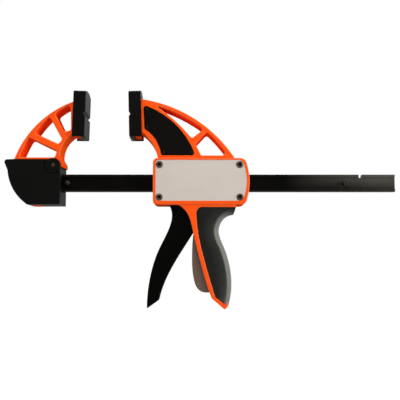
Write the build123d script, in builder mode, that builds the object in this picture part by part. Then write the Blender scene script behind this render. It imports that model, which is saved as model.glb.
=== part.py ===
from build123d import *
import math
import os

# Quick release bar clamp, 150 mm class, in millimetres.
# Origin: centre of the fixed pad's clamping face.  +X runs along the bar from the fixed jaw to the
# moving jaw, +Z points from the bar to the pads, and Y is the thickness (the front is at -Y).

os.makedirs("parts", exist_ok=True)

# ================================================================ driving dimensions
# Bar
BAR_HEIGHT = 20.0
BAR_THICKNESS = 8.0
BAR_LENGTH = 439.8
BAR_FLANGE = 3.2            # height of the I-section's flanges
BAR_GROOVE = 1.0            # depth of the web below the flanges
BAR_OVERHANG = 80.1         # bar's left end to the fixed pad's face
HOLE_BEYOND_HOUSING = 6.7   # a stop pin's hole, past the jaw housing's right face
NOTCH_FROM_END = 40.2
NOTCH_WIDTH = 4.2
NOTCH_DEPTH = 3.6
STOP_PIN_R = 2.5
STOP_PIN_BORE = 1.4         # stop pins are hollow
STOP_PIN_REACH = 7.0        # how far a stop pin stands out of the bar, each side
PIN_CHAMFER = 0.5

# Jaw pads and tips
OPENING = 50.0              # between the pads' centres as shown
THROAT = 68.8               # pads' centre down to the bar's top
PAD_WIDTH = 38.0
PAD_HEIGHT = 51.8
PAD_THICKNESS = 14.2
PAD_CROWN_TOP = 3.7         # rise of the pad's top edge at mid width
PAD_CROWN_BOTTOM = 1.8
PAD_FACE_WALL = 5.0
PAD_LIP = 1.5               # back lips that hold the cap on the jaw's tip
PAD_CORNER = 2.5            # rounding of the pad's four long corners
PAD_ROUND = 1.2             # and of its face's edges
TOE_IN = 1.5                # degrees
GROOVE_DEPTH = 2.2
GROOVE_HEIGHT = 6.0
TIP_WIDTH = 32.0            # the jaw tip's T-plate, across Y
TIP_TOP = 20.5
TIP_DROP = 24.4

# Arms
ARM_WIDTH = 28.0
ARM_ROUND = 1.2             # rounding of an arm's edges
FIXED_NECK_TOP = 17.2       # edges of each arm where it meets its tip
FIXED_NECK_DROP = 21.0
FIXED_OUTER_BOW = 12.6      # rise of the outer edge's arc over its chord
FIXED_INNER_BOW = 6.0
MOVING_NECK_TOP = 18.8
MOVING_NECK_DROP = 18.2
MOVING_OUTER_BOW = 15.5
MOVING_INNER_BOW = 5.2
MOVING_OUTER_END = 10.2     # the outer edge's lower end, in from the box's right corner
MOVING_INNER_END = 5.6      # the inner edge's lower end, in from the box's left face
ARM_SINK = 1.4              # the arm's foot, below the box's top

# Fixed jaw housing, from the bar's left end and top
HOUSING_WIDTH = 38.0
HOUSING_LENGTH = 52.6       # right face, from the bar's end
HOUSING_RISE = 16.2         # top face, above the bar
HOUSING_DEPTH = 15.9        # underside, below the bar
HOUSING_ROUND = 1.5
BOSS_R = 8.3
BOSS_PROUD = 1.2            # boss above the housing's top
MOAT_WIDTH = 3.3
MOAT_DEPTH = 1.6
MOAT_RIM = 0.5              # housing's wall outside the moat, inside its rounding
JAW_PIN_R = 2.3
RECESS_WIDTH = 14.0
RECESS_DEPTH = 3.0
RECESS_MARGIN = 0.5         # recess above and below the bar
ROOT_LEFT = 1.4             # the arm's root, from the bar's end
ROOT_FLOOR = 2.3            # and above the bar
NOSE_FLOOR = 7.5
NOSE_LENGTH = 4.4
NOSE_HEIGHT = 4.4
HEEL_DEPTH = 7.5            # housing's left end: its waist, from the bar's end
HEEL_RISE = 3.3
LIP_REACH = 12.6            # the lip at its top
LIP_FALL = 0.5
LIP_CORNER = 3.0
FLOOR_CORNER = 2.4          # its lower right corner
HEEL_END = 15.4             # where its underside begins
HEEL_MIDDLE = 0.2
ARM_HEEL_OUT = 2.3          # the arm's outer foot, left of the bar's end
ARM_HEEL_SINK = 2.4         # and below the housing's top
ARM_THROAT_RISE = 2.0
ARM_THROAT_INSET = 1.4      # the throat's foot, in from the housing's right face

# Jaw latch
BUTTON_LENGTH = 8.7
BUTTON_AHEAD = 16.1         # button's centre, left of the bar's notch
BUTTON_WIDTH = 16.0
BUTTON_PROUD = 0.9          # below the housing
BUTTON_ROUND = 0.8
LATCH_TRAVEL = 4.0
FOOT_THICKNESS = 1.6
FOOT_DROP = 12.2            # foot's underside, below the bar
FOOT_LIP = 1.8              # foot beyond the button
FOOT_WIDTH = 18.0
LEG_GAP = 1.2               # between a leg and the bar
LEG_THICKNESS = 2.0
CROSSBAR_RISE = 0.8         # above the bar
LATCH_SPRING_R = 2.4        # to the middle of the wire
LATCH_SPRING_WIRE = 0.7
LATCH_SPRING_TURNS = 4.0
SPRING_CEILING = 2.2        # below the bar

# Moving jaw's box
BOX_SETBACK = 28.0          # box's left face, behind the moving pad's face
BOX_LENGTH = 105.6          # to the right corners
BOX_BULGE = 5.2             # right end's bulge at mid height
BOX_WIDTH = 35.6
BOX_RISE = 17.6             # above the bar
BOX_DEPTH = 16.2            # below the bar
BOX_LEFT_R = 5.0
BOX_RIGHT_R = 7.5
BOX_ROUND = 1.4
BOX_WALL = 3.0
BOX_FLOOR = 4.3
BOX_END_WALL = 6.0

# Cover plates and their screws
COVER_SIDE = 3.0            # rim left and right of a cover plate
COVER_HEAD = 2.1            # rim above it
COVER_FOOT = 4.4            # rim below it
COVER_THICKNESS = 1.5
COVER_RECESS = 0.4          # plate's face below the rim
COVER_LEFT_R = 3.4
COVER_RIGHT_R = 6.0
SCREW_INSET = 7.4           # screws, in from the box's left face
SCREW_RIGHT_INSET = 6.0     # and from its right corners
SCREW_HEAD_R = 4.0
SCREW_HEAD_H = 1.6
HEAD_CROWN = 0.7            # rounding of a button head, as a share of its height
SCREW_R = 2.0
SCREW_TIP = 1.8             # from a screw's end to the end of its nut's bore
SCREW_RISE = 10.0           # upper screws above the bar
SCREW_DROP = 7.4            # lower screws below the bar
NUT_R = 3.0
NUT_LENGTH = 10.0
NUT_ROOF = 3.0              # end of a nut's bore, from its head
SOCKET_R = 1.6
SOCKET_DEPTH = 1.0
POST_R = 4.2

# Arm inserts and their screws
INSERT_THICKNESS = 2.0
INSERT_RECESS = 0.3         # insert's face below the arm's side
INSERT_SCREW_R = 1.1
INSERT_SCREW_LENGTH = 6.0
INSERT_HEAD_R = 2.1
INSERT_HEAD_H = 1.0
INSERT_SOCKET_R = 0.7

# Handle
LIP_WIDTH = 33.0            # the handle's lip, across Y
LIP_ROUND = 1.0             # rounding of its long edges
CORE_WIDTH = 25.2           # the channel's walls, under the grip
CHANNEL_WIDTH = 21.2
CHANNEL_FRONT = 15.9        # from the box's left face
CHANNEL_ROOF_END = 77.0
CHANNEL_DEPTH = 118.0       # below the bar
CHANNEL_WALL = 2.8
GRIP_WIDTH = 32.4
GRIP_SOFT = 5.6             # grip's depth behind the channel
GRIP_DROP = 18.8            # grip's top edge, below the bar
GRIP_START = 56.2           # grip's top edge begins, from the box's left face
SHOULDER_BOW = 1.9          # bow of the grip's rounded upper corner
CORE_LENGTH = 84.0          # core's upper right corner
GRIP_LENGTH = 95.2          # grip's top corner, from the box's left face
GRIP_ROUND = 10.0           # rounding of the grip's back

# Trigger, with its pivot from the box's left face and the bar's top
TRIGGER_WIDTH = 20.0
TRIGGER_SLOT = 13.0
TRIGGER_WALL = 4.6
SLOT_DROP = 3.0             # the trigger's crotch, below the bar
TRIGGER_ROUND = 2.5
TRIGGER_SETBACK = 20.0
TRIGGER_RISE = 6.9
TRIGGER_EYE_R = 6.0
TRIGGER_PIN_R = 3.0
NOSE_DROP = 28.5            # nose centre below the pivot
NOSE_AHEAD = 3.0
NOSE_R = 3.4
PIN_COVER = 0.9             # from a pin's end to the cover plate
PIN_BOSS_WALL = 2.2

# Drive plates and brake plates
PLATE_COUNT = 2
PLATE_THICKNESS = 2.4
PLATE_WIDTH = 24.0
PLATE_CORNER = 2.0
PLATE_SPLIT = 0.1           # between two plates of a stack
PLATE_RISE = 7.8            # above the bar
PLATE_DROP = 5.2            # below the bar
PLATE_WINDOW = 0.3          # window round the bar, each side
SPRING_R = 11.6             # springs round the bar, to the middle of the wire
SPRING_GAP = 0.5            # and from the thicker spring to the cavity's side
DRIVE_SPRING_WIRE = 1.6
DRIVE_SPRING_TURNS = 4.5
BULKHEAD_SETBACK = 53.5
BULKHEAD_THICKNESS = 2.5
BULKHEAD_LIFT = 2.0         # above the box's floor
BRAKE_SETBACK = 82.0        # brake pivot, from the box's left face
BRAKE_RISE = 10.4           # and above the bar
BRAKE_TILT = 4.0            # degrees, at rest
BRAKE_TOP = 2.4             # plates above their pivot
BRAKE_WINDOW = 0.5          # window above and below the bar
BRAKE_PLAY = 0.5            # beside the plates in their notch
RIB_THICKNESS = 1.4
RIB_DROP = 5.0
BRAKE_SPRING_WIRE = 1.4
BRAKE_SPRING_TURNS = 4.0

# Release lever, with its pivot from the box's left face and the bar's top
LEVER_WIDTH = 11.0
LEVER_FORK = 15.0
LEVER_FORK_GAP = 0.5        # between the fork and the bar, each side
LEVER_FORK_DROP = 1.8       # fork's crotch, below the bar
LEVER_FORK_BASE = 8.2       # and where its width begins
LEVER_ROUND = 1.5
LEVER_SETBACK = 72.0
LEVER_RISE = 6.8
LEVER_EYE_R = 4.3
LEVER_PIN_R = 2.4
LEVER_NOSE_DROP = 29.0
LEVER_NOSE_R = 3.0

# Clearances
SLIDE_GAP = 0.15            # bar in its guides, each side
FIT_GAP = 0.1               # a seated piece in its pocket, each side
PIN_GAP = 0.05              # running fit of a pin, on the radius
MOVING_GAP = 0.3            # between pieces that move past each other
PLAY = 0.1                  # between a nose and the plate that it pushes
CUT_PAST = 1.0              # how far a cut runs past a face, or a rib into a wall

# ================================================================ places
BAR_TOP = -THROAT
BAR_FOOT = BAR_TOP - BAR_HEIGHT
BAR_MID = BAR_TOP - BAR_HEIGHT/2
BAR_LEFT = -BAR_OVERHANG
BAR_RIGHT = BAR_LEFT + BAR_LENGTH
HOLE_FROM_END = HOUSING_LENGTH + HOLE_BEYOND_HOUSING
HOLE_SITES = [(BAR_LEFT + HOLE_FROM_END, BAR_MID), (BAR_RIGHT - HOLE_FROM_END, BAR_MID)]
NOTCH_SITES = [(BAR_LEFT + NOTCH_FROM_END, BAR_TOP), (BAR_RIGHT - NOTCH_FROM_END, BAR_TOP)]
GUIDE_WIDTH = BAR_THICKNESS + 2*SLIDE_GAP
GUIDE_HEIGHT = BAR_HEIGHT + 2*SLIDE_GAP
PAD_HALF = PAD_HEIGHT/2
TIP_FRONT = -PAD_FACE_WALL - FIT_GAP
TIP_BACK = -PAD_THICKNESS + PAD_LIP + FIT_GAP

HOUSING_TOP = BAR_TOP + HOUSING_RISE
HOUSING_FLOOR = BAR_FOOT - HOUSING_DEPTH
HOUSING_RIGHT = BAR_LEFT + HOUSING_LENGTH
BOSS_X = HOUSING_RIGHT - BOSS_R
BOSS_Z = HOUSING_TOP + BOSS_PROUD - BOSS_R
LATCH_X = NOTCH_SITES[0][0]
CROSSBAR_WIDTH = NOTCH_WIDTH - 2*2*FIT_GAP
LEG_INSIDE = BAR_THICKNESS/2 + LEG_GAP
LEG_OUTSIDE = LEG_INSIDE + LEG_THICKNESS
LATCH_LEFT = LATCH_X - CROSSBAR_WIDTH/2
LATCH_RIGHT = LATCH_X + CROSSBAR_WIDTH/2
FOOT_FLOOR = BAR_FOOT - FOOT_DROP
BUTTON_X = LATCH_X - BUTTON_AHEAD
FOOT_LEFT = BUTTON_X - BUTTON_LENGTH/2 - FOOT_LIP
LATCH_CEILING = BAR_TOP + CROSSBAR_RISE + LATCH_TRAVEL + MOVING_GAP

BOX_LEFT = OPENING + BOX_SETBACK
BOX_RIGHT = BOX_LEFT + BOX_LENGTH
BOX_TOP = BAR_TOP + BOX_RISE
BOX_BOTTOM = BAR_FOOT - BOX_DEPTH
CAVITY_RIGHT = BOX_RIGHT + BOX_BULGE - BOX_END_WALL
CAVITY_TOP = BOX_TOP - BOX_WALL
CAVITY_FLOOR = BOX_BOTTOM + BOX_FLOOR
COVER_FACE = BOX_WIDTH/2 - COVER_RECESS
COVER_SEAT = COVER_FACE - COVER_THICKNESS
CAVITY_HALF = SPRING_R + DRIVE_SPRING_WIRE/2 + SPRING_GAP
PIN_LENGTH = 2*(COVER_SEAT - PIN_COVER)
SCREW_LENGTH = 2*COVER_FACE - NUT_ROOF - SCREW_TIP
SCREW_SITES = [
    (x, z)
    for x in (BOX_LEFT + SCREW_INSET, BOX_RIGHT - SCREW_RIGHT_INSET)
    for z in (BAR_TOP + SCREW_RISE, BAR_FOOT - SCREW_DROP)
]
INSERT_FACE = ARM_WIDTH/2 - INSERT_RECESS
INSERT_SEAT = INSERT_FACE - INSERT_THICKNESS
TRIGGER_X = BOX_LEFT + TRIGGER_SETBACK
TRIGGER_Z = BAR_TOP + TRIGGER_RISE
NOSE_X = TRIGGER_X + NOSE_AHEAD
NOSE_Z = TRIGGER_Z - NOSE_DROP
SLOT_FLOOR = BAR_FOOT - SLOT_DROP
STACK = PLATE_COUNT*PLATE_THICKNESS
DRIVE_X = NOSE_X + NOSE_R + PLAY
BULKHEAD_X = BOX_LEFT + BULKHEAD_SETBACK
BRAKE_X = BOX_LEFT + BRAKE_SETBACK
BRAKE_Z = BAR_TOP + BRAKE_RISE
LEVER_X = BOX_LEFT + LEVER_SETBACK
LEVER_Z = BAR_TOP + LEVER_RISE
LEVER_NOSE_Z = LEVER_Z - LEVER_NOSE_DROP
TILT = math.radians(BRAKE_TILT)
LEVER_NOSE_X = BRAKE_X - (
    STACK/2 + PLAY + LEVER_NOSE_R + (BRAKE_Z - LEVER_NOSE_Z)*math.sin(TILT)
)/math.cos(TILT)


def below_bar(points):
    """Points given from the box's left face and the bar's underside."""
    return [(BOX_LEFT + x, BAR_FOOT + z) for x, z in points]


SPINE_FRONT = below_bar(
    [(27.7, -15.5), (38.8, -24.8), (46.0, -47.2), (53.7, -78.9), (62.4, -109.5), (67.2, -122.3)]
)
SPINE_BACK = below_bar([(49.9, -25.6), (53.9, -58.6), (59.5, -81.2), (65.2, -101.4), (71.3, -120.8)])
SPINE_TOE, SPINE_HEEL = below_bar([(81.4, -134.5), (85.0, -131.7)])
GRIP_BACK = below_bar(
    [
        (92.6, -26.8), (80.4, -33.2), (75.6, -45.7), (80.7, -62.4),
        (88.0, -86.0), (90.0, -109.2), (86.2, -131.4),
    ]
)
TRIGGER_FRONT = below_bar(
    [(16.6, -13.2), (21.6, -30.2), (16.3, -47.6), (5.5, -69.9), (-1.8, -92.6), (-6.6, -134.0)]
)
TRIGGER_BACK = below_bar([(7.0, -124.4), (14.0, -102.9), (26.5, -79.0), (46.0, -48.1)])
TRIGGER_SHOULDER = below_bar([(45.4, -33.2), (40.0, -19.2), (23.0, -7.7)])
LEVER_FRONT = below_bar(
    [(53.0, -23.2), (46.6, -47.2), (44.8, -73.3), (46.3, -98.4), (51.7, -112.4), (64.2, -116.2)]
)
LEVER_BACK = below_bar(
    [(70.2, -112.2), (68.2, -93.2), (63.0, -69.2), (59.4, -46.2), (62.0, -29.2), (72.5, -12.2)]
)

# Corners of the arms' windows and of the inserts.  Each is a share of the arm's length along the bar
# and of its height above the bar, then the corner's rounding and how far the next edge bows outwards.
FIXED_WINDOWS = [
    [(0.220, 1.168, 3.0, 0.8), (0.442, 1.007, 3.0, 0), (0.317, 0.704, 2.6, 0), (0.211, 0.732, 2.6, 0)],
    [(0.523, 0.969, 2.4, 0.6), (0.727, 0.681, 2.6, 0), (0.387, 0.498, 2.6, 0), (0.337, 0.577, 2.6, 0)],
    [(0.811, 0.609, 2.6, 0.6), (0.948, 0.272, 1.8, 0), (0.438, 0.272, 3.0, 0), (0.408, 0.382, 2.2, 0)],
]
MOVING_WINDOWS = [
    [(0.216, 1.165, 0.8, -2.5), (0.543, 0.596, 2.6, 0), (0.645, 0.750, 2.6, 2.9)],
    [(0.674, 0.708, 2.6, 0), (0.575, 0.503, 2.6, 0), (0.625, 0.307, 1.8, 0), (0.853, 0.307, 3.4, 1.0)],
]
INSERT_OUTLINE = [
    (0.122, 1.166, 3.0, 0), (0.133, 0.756, 2.6, -4.3), (0.277, 0.304, 3.0, 0), (0.575, 0.304, 3.0, 9.8)
]
INSERT_SCREWS = [(0.149, 1.096), (0.155, 0.783), (0.300, 0.352), (0.539, 0.352)]
MOVING_SPAN = BOX_SETBACK + BOX_LENGTH


def on_arm(share_x, share_z, side):
    """Point on an arm, from its shares of the arm's length and height."""
    if side == "fixed":
        return (-share_x*BAR_OVERHANG, BAR_TOP + share_z*THROAT)
    return (OPENING + share_x*MOVING_SPAN, BAR_TOP + share_z*THROAT)


def at_depth(y):
    """Plane of X and Z at depth y; a positive extrusion from it comes forward, towards -Y."""
    return Plane.XZ.offset(-y)


def bow(start, end, rise):
    """Arc from start to end, bowed to the right of the way from one to the other."""
    length = math.dist(start, end)
    middle = (
        (start[0] + end[0])/2 + rise*(end[1] - start[1])/length,
        (start[1] + end[1])/2 - rise*(end[0] - start[0])/length,
    )
    ThreePointArc(start, middle, end)


def bowed_face(corners, side):
    """Face in X and Z with rounded corners and straight or bowed edges."""
    points = [on_arm(corner[0], corner[1], side) for corner in corners]
    with BuildSketch(Plane.XZ) as face:
        with BuildLine():
            for i, (start, corner) in enumerate(zip(points, corners)):
                end = points[(i + 1) % len(points)]
                if corner[3]:
                    bow(start, end, corner[3])
                else:
                    Line(start, end)
        make_face()
        for (x, z), corner in zip(points, corners):
            fillet(face.vertices().sort_by_distance((x, z, 0))[0], corner[2])
    return face.sketch


# ================================================================ bar
with BuildPart() as bar:
    with BuildSketch(Plane.YZ.offset(BAR_LEFT)):
        with Locations((0, BAR_MID)):
            Rectangle(BAR_THICKNESS, BAR_HEIGHT)
        with Locations((-BAR_THICKNESS/2, BAR_MID), (BAR_THICKNESS/2, BAR_MID)):
            Rectangle(2*BAR_GROOVE, BAR_HEIGHT - 2*BAR_FLANGE, mode=Mode.SUBTRACT)
    extrude(amount=BAR_LENGTH)
    with BuildSketch(Plane.XZ):
        with Locations(*HOLE_SITES):
            Circle(STOP_PIN_R)
        with Locations(*NOTCH_SITES):
            Rectangle(NOTCH_WIDTH, 2*NOTCH_DEPTH)
    extrude(amount=BAR_THICKNESS, both=True, mode=Mode.SUBTRACT)
bar.part.label = "bar"

with BuildPart() as stop_pins:
    with BuildSketch(Plane.XZ):
        with Locations(*HOLE_SITES):
            Circle(STOP_PIN_R)
    extrude(amount=BAR_THICKNESS/2 + STOP_PIN_REACH, both=True)
    chamfer(stop_pins.edges().filter_by(GeomType.CIRCLE), PIN_CHAMFER)
    with BuildSketch(Plane.XZ):
        with Locations(*HOLE_SITES):
            Circle(STOP_PIN_BORE)
    extrude(amount=BAR_THICKNESS/2 + STOP_PIN_REACH, both=True, mode=Mode.SUBTRACT)
stop_pins.part.label = "stop_pins"


# ================================================================ jaw pads and the tips they cover
def pad_plane(turn):
    """Frame on a pad's face: x out of the face, y up it.  turn is 1 for the fixed pad, else -1."""
    lean = math.radians(TOE_IN)
    return Plane(
        origin=(0 if turn == 1 else OPENING, 0, 0),
        x_dir=(turn*math.cos(lean), 0, -math.sin(lean)),
        z_dir=(0, -turn, 0),
    )


def make_pad(turn, neck_top):
    """Soft cap: crowned front, V-groove, a pocket for the jaw's tip and a slot for the arm."""
    plane = pad_plane(turn)
    across = Plane(origin=plane.origin, x_dir=-plane.z_dir, z_dir=plane.x_dir)
    half = PAD_WIDTH/2
    with BuildPart() as pad:
        with BuildSketch(across):
            with BuildLine():
                ThreePointArc((-half, PAD_HALF), (0, PAD_HALF + PAD_CROWN_TOP), (half, PAD_HALF))
                Line((half, PAD_HALF), (half, -PAD_HALF))
                ThreePointArc((half, -PAD_HALF), (0, -PAD_HALF - PAD_CROWN_BOTTOM), (-half, -PAD_HALF))
                Line((-half, -PAD_HALF), (-half, PAD_HALF))
            make_face()
        extrude(amount=-PAD_THICKNESS)
        outwards = Axis(plane.origin, plane.x_dir)
        fillet(pad.edges().filter_by(outwards), PAD_CORNER)
        fillet(pad.faces().sort_by(outwards)[-1].edges(), PAD_ROUND)
        with BuildSketch(plane):
            with BuildLine():
                Polyline(
                    (GROOVE_DEPTH, GROOVE_HEIGHT),
                    (-GROOVE_DEPTH, 0),
                    (GROOVE_DEPTH, -GROOVE_HEIGHT),
                    close=True,
                )
            make_face()
        extrude(amount=PAD_WIDTH, both=True, mode=Mode.SUBTRACT)
        with BuildSketch(plane):
            with Locations((TIP_BACK - FIT_GAP, TIP_TOP + FIT_GAP)):
                Rectangle(
                    TIP_FRONT - TIP_BACK + 2*FIT_GAP, 2*PAD_HEIGHT, align=(Align.MIN, Align.MAX)
                )
        extrude(amount=TIP_WIDTH/2 + FIT_GAP, both=True, mode=Mode.SUBTRACT)
        with BuildSketch(plane):
            with Locations((TIP_BACK, neck_top + 2*FIT_GAP)):
                Rectangle(PAD_THICKNESS, 2*PAD_HEIGHT, align=(Align.MAX, Align.MAX))
        extrude(amount=ARM_WIDTH/2 + FIT_GAP, both=True, mode=Mode.SUBTRACT)
    return pad


fixed_pad = make_pad(1, FIXED_NECK_TOP)
fixed_pad.part.label = "fixed_pad"
moving_pad = make_pad(-1, MOVING_NECK_TOP)
moving_pad.part.label = "moving_pad"


def tip_sketch(turn):
    """Side view of a jaw's T-plate."""
    with BuildSketch(pad_plane(turn)) as tip:
        with Locations((TIP_BACK, -TIP_DROP)):
            Rectangle(TIP_FRONT - TIP_BACK, TIP_TOP + TIP_DROP, align=(Align.MIN, Align.MIN))
    return tip.sketch


def neck_points(turn, top, drop):
    """Upper and lower corner of an arm where it joins its T-plate, buried in the plate."""
    plane = pad_plane(turn)
    middle = (TIP_FRONT + TIP_BACK)/2
    upper = plane.from_local_coords(Vector(middle, top, 0))
    lower = plane.from_local_coords(Vector(middle, -drop, 0))
    return (upper.X, upper.Z), (lower.X, lower.Z)


def long_edges(side):
    """Edges of an arm's side that are rounded: its two long arcs and the rims of its windows."""
    rims = [edge for window in side.inner_wires() for edge in window.edges()]
    return side.outer_wire().edges().filter_by(GeomType.CIRCLE) + rims


# ================================================================ fixed arm
FIXED_NECK = neck_points(1, FIXED_NECK_TOP, FIXED_NECK_DROP)
NOSE_TIP_X = HOUSING_RIGHT + NOSE_LENGTH/2
NOSE_BASE = BAR_TOP + NOSE_FLOOR
ARM_HEEL = (BAR_LEFT - ARM_HEEL_OUT, HOUSING_TOP - ARM_HEEL_SINK)
ARM_THROAT = (HOUSING_RIGHT - ARM_THROAT_INSET, HOUSING_TOP + ARM_THROAT_RISE)

with BuildPart() as fixed_arm:
    with BuildSketch(Plane.XZ):
        with BuildLine():
            bow(FIXED_NECK[0], ARM_HEEL, FIXED_OUTER_BOW)
            Polyline(
                ARM_HEEL,
                (BAR_LEFT + ROOT_LEFT, BAR_TOP + ROOT_FLOOR),
                (LATCH_LEFT - 2*MOVING_GAP, BAR_TOP + ROOT_FLOOR),
                (LATCH_LEFT - 2*MOVING_GAP, LATCH_CEILING),
                (LATCH_RIGHT + 2*MOVING_GAP, LATCH_CEILING),
                (LATCH_RIGHT + 2*MOVING_GAP, BAR_TOP + ROOT_FLOOR),
                (HOUSING_RIGHT - NOSE_LENGTH/2, BAR_TOP + ROOT_FLOOR),
                (HOUSING_RIGHT - NOSE_LENGTH/2, NOSE_BASE),
                (NOSE_TIP_X, NOSE_BASE),
                (NOSE_TIP_X, NOSE_BASE + NOSE_HEIGHT),
                ARM_THROAT,
            )
            bow(ARM_THROAT, FIXED_NECK[1], -FIXED_INNER_BOW)
            Line(FIXED_NECK[1], FIXED_NECK[0])
        make_face()
    extrude(amount=ARM_WIDTH/2, both=True)
    for corners in FIXED_WINDOWS:
        extrude(bowed_face(corners, "fixed"), amount=ARM_WIDTH, both=True, mode=Mode.SUBTRACT)
    for side in (0, -1):
        fillet(long_edges(fixed_arm.faces().sort_by(Axis.Y)[side]), ARM_ROUND)
    extrude(tip_sketch(1), amount=TIP_WIDTH/2, both=True)
    with BuildSketch(Plane.XZ):
        with Locations((BOSS_X, BOSS_Z)):
            Circle(JAW_PIN_R + PIN_GAP)
    extrude(amount=ARM_WIDTH, both=True, mode=Mode.SUBTRACT)
fixed_arm.part.label = "fixed_arm"


# ================================================================ fixed jaw's housing, pin and latch
ROOT_SLOT = [
    (ARM_HEEL[0] - FIT_GAP, HOUSING_TOP + BOSS_R),
    (ARM_HEEL[0] - FIT_GAP, ARM_HEEL[1]),
    (BAR_LEFT + ROOT_LEFT - FIT_GAP, BAR_TOP + ROOT_FLOOR - FIT_GAP),
    (HOUSING_RIGHT - NOSE_LENGTH/2 + FIT_GAP, BAR_TOP + ROOT_FLOOR - FIT_GAP),
    (HOUSING_RIGHT - NOSE_LENGTH/2 + FIT_GAP, NOSE_BASE - FIT_GAP),
    (HOUSING_RIGHT + BOSS_R, NOSE_BASE - FIT_GAP),
    (HOUSING_RIGHT + BOSS_R, HOUSING_TOP + BOSS_R),
]
MOAT_EDGE = HOUSING_ROUND + MOAT_RIM
HOUSING_LIP = (BAR_LEFT - LIP_REACH, HOUSING_TOP - LIP_FALL)
HOUSING_FOOT = (HOUSING_RIGHT, HOUSING_FLOOR)
BOSS_START = (BOSS_X - math.sqrt(BOSS_R**2 - (HOUSING_TOP - BOSS_Z)**2), HOUSING_TOP)
BOSS_SHOULDER = (BOSS_X + BOSS_R*math.sin(math.pi/4), BOSS_Z + BOSS_R*math.cos(math.pi/4))


def block(x_range, half_width, z_range):
    """Cuts a block out of the current piece, the same on both sides of the clamp's middle plane."""
    with Locations(((x_range[0] + x_range[1])/2, 0, (z_range[0] + z_range[1])/2)):
        Box(x_range[1] - x_range[0], 2*half_width, z_range[1] - z_range[0], mode=Mode.SUBTRACT)


with BuildPart() as jaw_housing:
    with BuildSketch(Plane.XZ) as housing_side:
        with BuildLine():
            Polyline(
                (BAR_LEFT - HEEL_DEPTH, BAR_TOP + HEEL_RISE),
                HOUSING_LIP,
                (BAR_LEFT, HOUSING_TOP),
                BOSS_START,
            )
            ThreePointArc(BOSS_START, BOSS_SHOULDER, (HOUSING_RIGHT, BOSS_Z))
            Polyline(
                (HOUSING_RIGHT, BOSS_Z),
                HOUSING_FOOT,
                (BAR_LEFT + HEEL_END, HOUSING_FLOOR),
            )
            ThreePointArc(
                (BAR_LEFT + HEEL_END, HOUSING_FLOOR),
                (BAR_LEFT + HEEL_MIDDLE, BAR_FOOT),
                (BAR_LEFT - HEEL_DEPTH, BAR_TOP + HEEL_RISE),
            )
        make_face()
        for (x, z), radius in ((HOUSING_LIP, LIP_CORNER), (HOUSING_FOOT, FLOOR_CORNER)):
            fillet(housing_side.vertices().sort_by_distance((x, 0, z))[0], radius)
    extrude(amount=HOUSING_WIDTH/2, both=True)
    for side in (0, -1):
        fillet(jaw_housing.faces().sort_by(Axis.Y)[side].edges(), HOUSING_ROUND)
    with BuildSketch(Plane.XZ):
        with BuildLine():
            Polyline(*ROOT_SLOT, close=True)
        make_face()
    extrude(amount=ARM_WIDTH/2 + FIT_GAP, both=True, mode=Mode.SUBTRACT)
    for depth in (HOUSING_WIDTH/2, -HOUSING_WIDTH/2 + MOAT_DEPTH):
        with BuildSketch(at_depth(-depth)):
            with Locations((BOSS_X, BOSS_Z)):
                Circle(BOSS_R + MOAT_WIDTH)
                Circle(BOSS_R, mode=Mode.SUBTRACT)
            with Locations((HOUSING_RIGHT - MOAT_EDGE, HOUSING_TOP - MOAT_EDGE)):
                Rectangle(3*BOSS_R, 3*BOSS_R, align=(Align.MAX, Align.MAX), mode=Mode.INTERSECT)
        extrude(amount=-MOAT_DEPTH, mode=Mode.SUBTRACT)
    with BuildSketch(Plane.XZ):
        with Locations((BOSS_X, BOSS_Z)):
            Circle(JAW_PIN_R + PIN_GAP)
    extrude(amount=HOUSING_WIDTH, both=True, mode=Mode.SUBTRACT)
    block(
        (BAR_LEFT - MOVING_GAP, HOUSING_RIGHT + CUT_PAST),
        GUIDE_WIDTH/2,
        (BAR_FOOT - SLIDE_GAP, BAR_TOP + SLIDE_GAP),
    )
    block(
        (HOUSING_RIGHT - RECESS_DEPTH, HOUSING_RIGHT + CUT_PAST),
        RECESS_WIDTH/2,
        (BAR_FOOT - RECESS_MARGIN, BAR_TOP + RECESS_MARGIN),
    )
    block(
        (LATCH_LEFT - MOVING_GAP, LATCH_RIGHT + MOVING_GAP),
        LEG_OUTSIDE + MOVING_GAP,
        (FOOT_FLOOR, LATCH_CEILING),
    )
    block(
        (FOOT_LEFT - MOVING_GAP, LATCH_RIGHT + MOVING_GAP),
        FOOT_WIDTH/2 + MOVING_GAP,
        (FOOT_FLOOR - FIT_GAP, BAR_FOOT - SPRING_CEILING),
    )
    block(
        (BUTTON_X - BUTTON_LENGTH/2 - MOVING_GAP, BUTTON_X + BUTTON_LENGTH/2 + MOVING_GAP),
        BUTTON_WIDTH/2 + MOVING_GAP,
        (HOUSING_FLOOR - CUT_PAST, FOOT_FLOOR),
    )
jaw_housing.part.label = "jaw_housing"

with BuildPart() as jaw_pin:
    with BuildSketch(Plane.XZ):
        with Locations((BOSS_X, BOSS_Z)):
            Circle(JAW_PIN_R)
    extrude(amount=HOUSING_WIDTH/2, both=True)
    fillet(jaw_pin.edges().filter_by(GeomType.CIRCLE), 2*PIN_CHAMFER)
jaw_pin.part.label = "jaw_pin"

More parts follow.
